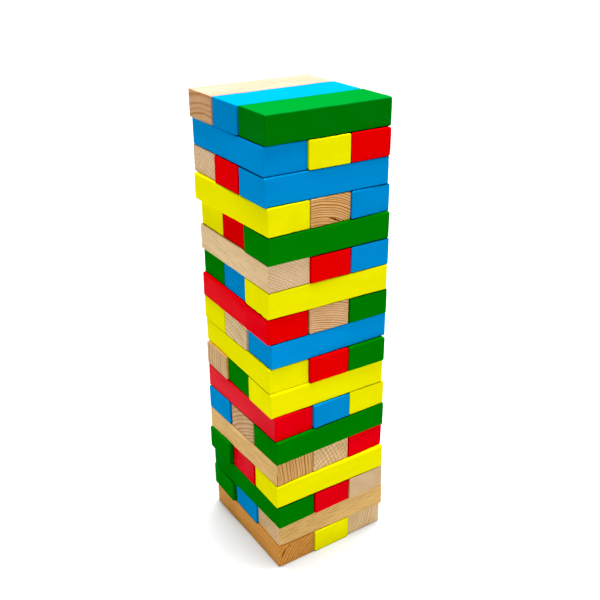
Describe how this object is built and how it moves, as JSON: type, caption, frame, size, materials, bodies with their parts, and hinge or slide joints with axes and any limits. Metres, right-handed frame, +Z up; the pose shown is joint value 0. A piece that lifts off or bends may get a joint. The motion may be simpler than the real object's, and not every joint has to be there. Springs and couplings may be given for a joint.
{
  "type": "giant tumbling tower",
  "caption": "Tall stacking game of loose wooden blocks in crossed layers, painted and bare. Blocks are pushed or pulled out lengthwise and set back on top.",
  "frame": {"origin": "on the ground, under the middle of the stack", "axes": "+Z up the tower; +X and +Y along the blocks of the even and the odd layers, with +Y to the back"},
  "size_m": [0.2063, 0.2025, 0.684],
  "materials": {
    "natural_wood": "bare pine, planed long sides, sawn ends, eased edges",
    "yellow_paint": "bright yellow paint on pine, satin, grain just showing",
    "red_paint": "bright red paint on pine, satin, grain just showing",
    "green_paint": "deep green paint on pine, satin, grain just showing",
    "blue_paint": "bright blue paint on pine, satin, grain just showing"
  },
  "bodies": {
    "layer_01_left_natural": {"layer_01_left_natural": "natural_wood"},
    "layer_01_centre_yellow": {"layer_01_centre_yellow": "yellow_paint"},
    "layer_01_right_natural": {"layer_01_right_natural": "natural_wood"},
    "layer_02_front_natural": {"layer_02_front_natural": "natural_wood"},
    "layer_02_middle_blue": {"layer_02_middle_blue": "blue_paint"},
    "layer_02_back_green": {"layer_02_back_green": "green_paint"},
    "layer_03_left_green": {"layer_03_left_green": "green_paint"},
    "layer_03_centre_red": {"layer_03_centre_red": "red_paint"},
    "layer_03_right_natural": {"layer_03_right_natural": "natural_wood"},
    "layer_04_front_yellow": {"layer_04_front_yellow": "yellow_paint"},
    "layer_04_middle_red": {"layer_04_middle_red": "red_paint"},
    "layer_04_back_green": {"layer_04_back_green": "green_paint"},
    "layer_05_left_natural": {"layer_05_left_natural": "natural_wood"},
    "layer_05_centre_natural": {"layer_05_centre_natural": "natural_wood"},
    "layer_05_right_red": {"layer_05_right_red": "red_paint"},
    "layer_06_front_green": {"layer_06_front_green": "green_paint"},
    "layer_06_middle_natural": {"layer_06_middle_natural": "natural_wood"},
    "layer_06_back_blue": {"layer_06_back_blue": "blue_paint"},
    "layer_07_left_red": {"layer_07_left_red": "red_paint"},
    "layer_07_centre_blue": {"layer_07_centre_blue": "blue_paint"},
    "layer_07_right_yellow": {"layer_07_right_yellow": "yellow_paint"},
    "layer_08_front_yellow": {"layer_08_front_yellow": "yellow_paint"},
    "layer_08_middle_green": {"layer_08_middle_green": "green_paint"},
    "layer_08_back_natural": {"layer_08_back_natural": "natural_wood"},
    "layer_09_left_yellow": {"layer_09_left_yellow": "yellow_paint"},
    "layer_09_centre_red": {"layer_09_centre_red": "red_paint"},
    "layer_09_right_green": {"layer_09_right_green": "green_paint"},
    "layer_10_front_blue": {"layer_10_front_blue": "blue_paint"},
    "layer_10_middle_natural": {"layer_10_middle_natural": "natural_wood"},
    "layer_10_back_yellow": {"layer_10_back_yellow": "yellow_paint"},
    "layer_11_left_red": {"layer_11_left_red": "red_paint"},
    "layer_11_centre_natural": {"layer_11_centre_natural": "natural_wood"},
    "layer_11_right_green": {"layer_11_right_green": "green_paint"},
    "layer_12_front_yellow": {"layer_12_front_yellow": "yellow_paint"},
    "layer_12_middle_blue": {"layer_12_middle_blue": "blue_paint"},
    "layer_12_back_green": {"layer_12_back_green": "green_paint"},
    "layer_13_left_natural": {"layer_13_left_natural": "natural_wood"},
    "layer_13_centre_red": {"layer_13_centre_red": "red_paint"},
    "layer_13_right_blue": {"layer_13_right_blue": "blue_paint"},
    "layer_14_front_green": {"layer_14_front_green": "green_paint"},
    "layer_14_middle_red": {"layer_14_middle_red": "red_paint"},
    "layer_14_back_yellow": {"layer_14_back_yellow": "yellow_paint"},
    "layer_15_left_yellow": {"layer_15_left_yellow": "yellow_paint"},
    "layer_15_centre_natural": {"layer_15_centre_natural": "natural_wood"},
    "layer_15_right_blue": {"layer_15_right_blue": "blue_paint"},
    "layer_16_front_blue": {"layer_16_front_blue": "blue_paint"},
    "layer_16_middle_red": {"layer_16_middle_red": "red_paint"},
    "layer_16_back_natural": {"layer_16_back_natural": "natural_wood"},
    "layer_17_left_blue": {"layer_17_left_blue": "blue_paint"},
    "layer_17_centre_yellow": {"layer_17_centre_yellow": "yellow_paint"},
    "layer_17_right_red": {"layer_17_right_red": "red_paint"},
    "layer_18_front_green": {"layer_18_front_green": "green_paint"},
    "layer_18_middle_blue": {"layer_18_middle_blue": "blue_paint"},
    "layer_18_back_natural": {"layer_18_back_natural": "natural_wood"}
  },
  "joints": [
    {"name": "layer_01_left_slide", "type": "slide", "parent": "layer_01_centre_yellow", "child": "layer_01_left_natural", "axis": [-0.0175, 0.9998, 0], "range_m": [-0.21, 0.21]},
    {"name": "layer_01_right_slide", "type": "slide", "parent": "layer_01_centre_yellow", "child": "layer_01_right_natural", "axis": [-0.0175, 0.9998, 0], "range_m": [-0.21, 0.21]},
    {"name": "layer_02_front_slide", "type": "slide", "parent": "layer_01_centre_yellow", "child": "layer_02_front_natural", "axis": [1, -0.0044, 0], "range_m": [-0.21, 0.21]},
    {"name": "layer_02_middle_slide", "type": "slide", "parent": "layer_01_centre_yellow", "child": "layer_02_middle_blue", "axis": [1, -0.0044, 0], "range_m": [-0.21, 0.21]},
    {"name": "layer_02_back_slide", "type": "slide", "parent": "layer_01_centre_yellow", "child": "layer_02_back_green", "axis": [1, -0.0044, 0], "range_m": [-0.21, 0.21]},
    {"name": "layer_03_left_slide", "type": "slide", "parent": "layer_01_centre_yellow", "child": "layer_03_left_green", "axis": [-0.0349, 0.9994, 0], "range_m": [-0.21, 0.21]},
    {"name": "layer_03_centre_slide", "type": "slide", "parent": "layer_01_centre_yellow", "child": "layer_03_centre_red", "axis": [-0.0349, 0.9994, 0], "range_m": [-0.21, 0.21]},
    {"name": "layer_03_right_slide", "type": "slide", "parent": "layer_01_centre_yellow", "child": "layer_03_right_natural", "axis": [-0.0349, 0.9994, 0], "range_m": [-0.21, 0.21]},
    {"name": "layer_04_front_slide", "type": "slide", "parent": "layer_01_centre_yellow", "child": "layer_04_front_yellow", "axis": [1, 0, 0], "range_m": [-0.21, 0.21]},
    {"name": "layer_04_middle_slide", "type": "slide", "parent": "layer_01_centre_yellow", "child": "layer_04_middle_red", "axis": [1, 0, 0], "range_m": [-0.21, 0.21]},
    {"name": "layer_04_back_slide", "type": "slide", "parent": "layer_01_centre_yellow", "child": "layer_04_back_green", "axis": [1, 0, 0], "range_m": [-0.21, 0.21]},
    {"name": "layer_05_left_slide", "type": "slide", "parent": "layer_01_centre_yellow", "child": "layer_05_left_natural", "axis": [-0.0349, 0.9994, 0], "range_m": [-0.21, 0.21]},
    {"name": "layer_05_centre_slide", "type": "slide", "parent": "layer_01_centre_yellow", "child": "layer_05_centre_natural", "axis": [-0.0349, 0.9994, 0], "range_m": [-0.21, 0.21]},
    {"name": "layer_05_right_slide", "type": "slide", "parent": "layer_01_centre_yellow", "child": "layer_05_right_red", "axis": [-0.0349, 0.9994, 0], "range_m": [-0.21, 0.21]},
    {"name": "layer_06_front_slide", "type": "slide", "parent": "layer_01_centre_yellow", "child": "layer_06_front_green", "axis": [0.9998, 0.0218, 0], "range_m": [-0.21, 0.21]},
    {"name": "layer_06_middle_slide", "type": "slide", "parent": "layer_01_centre_yellow", "child": "layer_06_middle_natural", "axis": [0.9998, 0.0218, 0], "range_m": [-0.21, 0.21]},
    {"name": "layer_06_back_slide", "type": "slide", "parent": "layer_01_centre_yellow", "child": "layer_06_back_blue", "axis": [0.9998, 0.0218, 0], "range_m": [-0.21, 0.21]},
    {"name": "layer_07_left_slide", "type": "slide", "parent": "layer_01_centre_yellow", "child": "layer_07_left_red", "axis": [-0.0262, 0.9997, 0], "range_m": [-0.21, 0.21]},
    {"name": "layer_07_centre_slide", "type": "slide", "parent": "layer_01_centre_yellow", "child": "layer_07_centre_blue", "axis": [-0.0262, 0.9997, 0], "range_m": [-0.21, 0.21]},
    {"name": "layer_07_right_slide", "type": "slide", "parent": "layer_01_centre_yellow", "child": "layer_07_right_yellow", "axis": [-0.0262, 0.9997, 0], "range_m": [-0.21, 0.21]},
    {"name": "layer_08_front_slide", "type": "slide", "parent": "layer_01_centre_yellow", "child": "layer_08_front_yellow", "axis": [1, -0.0044, 0], "range_m": [-0.21, 0.21]},
    {"name": "layer_08_middle_slide", "type": "slide", "parent": "layer_01_centre_yellow", "child": "layer_08_middle_green", "axis": [1, -0.0044, 0], "range_m": [-0.21, 0.21]},
    {"name": "layer_08_back_slide", "type": "slide", "parent": "layer_01_centre_yellow", "child": "layer_08_back_natural", "axis": [1, -0.0044, 0], "range_m": [-0.21, 0.21]},
    {"name": "layer_09_left_slide", "type": "slide", "parent": "layer_01_centre_yellow", "child": "layer_09_left_yellow", "axis": [0.0175, 0.9998, 0], "range_m": [-0.21, 0.21]},
    {"name": "layer_09_centre_slide", "type": "slide", "parent": "layer_01_centre_yellow", "child": "layer_09_centre_red", "axis": [0.0175, 0.9998, 0], "range_m": [-0.21, 0.21]},
    {"name": "layer_09_right_slide", "type": "slide", "parent": "layer_01_centre_yellow", "child": "layer_09_right_green", "axis": [0.0175, 0.9998, 0], "range_m": [-0.21, 0.21]},
    {"name": "layer_10_front_slide", "type": "slide", "parent": "layer_01_centre_yellow", "child": "layer_10_front_blue", "axis": [1, -0.0044, 0], "range_m": [-0.21, 0.21]},
    {"name": "layer_10_middle_slide", "type": "slide", "parent": "layer_01_centre_yellow", "child": "layer_10_middle_natural", "axis": [1, -0.0044, 0], "range_m": [-0.21, 0.21]},
    {"name": "layer_10_back_slide", "type": "slide", "parent": "layer_01_centre_yellow", "child": "layer_10_back_yellow", "axis": [1, -0.0044, 0], "range_m": [-0.21, 0.21]},
    {"name": "layer_11_left_slide", "type": "slide", "parent": "layer_01_centre_yellow", "child": "layer_11_left_red", "axis": [0.0131, 0.9999, 0], "range_m": [-0.21, 0.21]},
    {"name": "layer_11_centre_slide", "type": "slide", "parent": "layer_01_centre_yellow", "child": "layer_11_centre_natural", "axis": [0.0131, 0.9999, 0], "range_m": [-0.21, 0.21]},
    {"name": "layer_11_right_slide", "type": "slide", "parent": "layer_01_centre_yellow", "child": "layer_11_right_green", "axis": [0.0131, 0.9999, 0], "range_m": [-0.21, 0.21]},
    {"name": "layer_12_front_slide", "type": "slide", "parent": "layer_01_centre_yellow", "child": "layer_12_front_yellow", "axis": [0.9998, -0.0218, 0], "range_m": [-0.21, 0.21]},
    {"name": "layer_12_middle_slide", "type": "slide", "parent": "layer_01_centre_yellow", "child": "layer_12_middle_blue", "axis": [0.9998, -0.0218, 0], "range_m": [-0.21, 0.21]},
    {"name": "layer_12_back_slide", "type": "slide", "parent": "layer_01_centre_yellow", "child": "layer_12_back_green", "axis": [0.9998, -0.0218, 0], "range_m": [-0.21, 0.21]},
    {"name": "layer_13_left_slide", "type": "slide", "parent": "layer_01_centre_yellow", "child": "layer_13_left_natural", "axis": [0.0044, 1, 0], "range_m": [-0.21, 0.21]},
    {"name": "layer_13_centre_slide", "type": "slide", "parent": "layer_01_centre_yellow", "child": "layer_13_centre_red", "axis": [0.0044, 1, 0], "range_m": [-0.21, 0.21]},
    {"name": "layer_13_right_slide", "type": "slide", "parent": "layer_01_centre_yellow", "child": "layer_13_right_blue", "axis": [0.0044, 1, 0], "range_m": [-0.21, 0.21]},
    {"name": "layer_14_front_slide", "type": "slide", "parent": "layer_01_centre_yellow", "child": "layer_14_front_green", "axis": [1, 0, 0], "range_m": [-0.21, 0.21]},
    {"name": "layer_14_middle_slide", "type": "slide", "parent": "layer_01_centre_yellow", "child": "layer_14_middle_red", "axis": [1, 0, 0], "range_m": [-0.21, 0.21]},
    {"name": "layer_14_back_slide", "type": "slide", "parent": "layer_01_centre_yellow", "child": "layer_14_back_yellow", "axis": [1, 0, 0], "range_m": [-0.21, 0.21]},
    {"name": "layer_15_left_slide", "type": "slide", "parent": "layer_01_centre_yellow", "child": "layer_15_left_yellow", "axis": [-0.0305, 0.9995, 0], "range_m": [-0.21, 0.21]},
    {"name": "layer_15_centre_slide", "type": "slide", "parent": "layer_01_centre_yellow", "child": "layer_15_centre_natural", "axis": [-0.0305, 0.9995, 0], "range_m": [-0.21, 0.21]},
    {"name": "layer_15_right_slide", "type": "slide", "parent": "layer_01_centre_yellow", "child": "layer_15_right_blue", "axis": [-0.0305, 0.9995, 0], "range_m": [-0.21, 0.21]},
    {"name": "layer_16_front_slide", "type": "slide", "parent": "layer_01_centre_yellow", "child": "layer_16_front_blue", "axis": [1, 0, 0], "range_m": [-0.21, 0.21]},
    {"name": "layer_16_middle_slide", "type": "slide", "parent": "layer_01_centre_yellow", "child": "layer_16_middle_red", "axis": [1, 0, 0], "range_m": [-0.21, 0.21]},
    {"name": "layer_16_back_slide", "type": "slide", "parent": "layer_01_centre_yellow", "child": "layer_16_back_natural", "axis": [1, 0, 0], "range_m": [-0.21, 0.21]},
    {"name": "layer_17_left_slide", "type": "slide", "parent": "layer_01_centre_yellow", "child": "layer_17_left_blue", "axis": [0.0044, 1, 0], "range_m": [-0.21, 0.21]},
    {"name": "layer_17_centre_slide", "type": "slide", "parent": "layer_01_centre_yellow", "child": "layer_17_centre_yellow", "axis": [0.0044, 1, 0], "range_m": [-0.21, 0.21]},
    {"name": "layer_17_right_slide", "type": "slide", "parent": "layer_01_centre_yellow", "child": "layer_17_right_red", "axis": [0.0044, 1, 0], "range_m": [-0.21, 0.21]},
    {"name": "layer_18_front_lift", "type": "slide", "parent": "layer_01_centre_yellow", "child": "layer_18_front_green", "axis": [0, 0, 1], "range_m": [0, 0.1]},
    {"name": "layer_18_middle_lift", "type": "slide", "parent": "layer_01_centre_yellow", "child": "layer_18_middle_blue", "axis": [0, 0, 1], "range_m": [0, 0.1]},
    {"name": "layer_18_back_lift", "type": "slide", "parent": "layer_01_centre_yellow", "child": "layer_18_back_natural", "axis": [0, 0, 1], "range_m": [0, 0.1]}
  ]
}
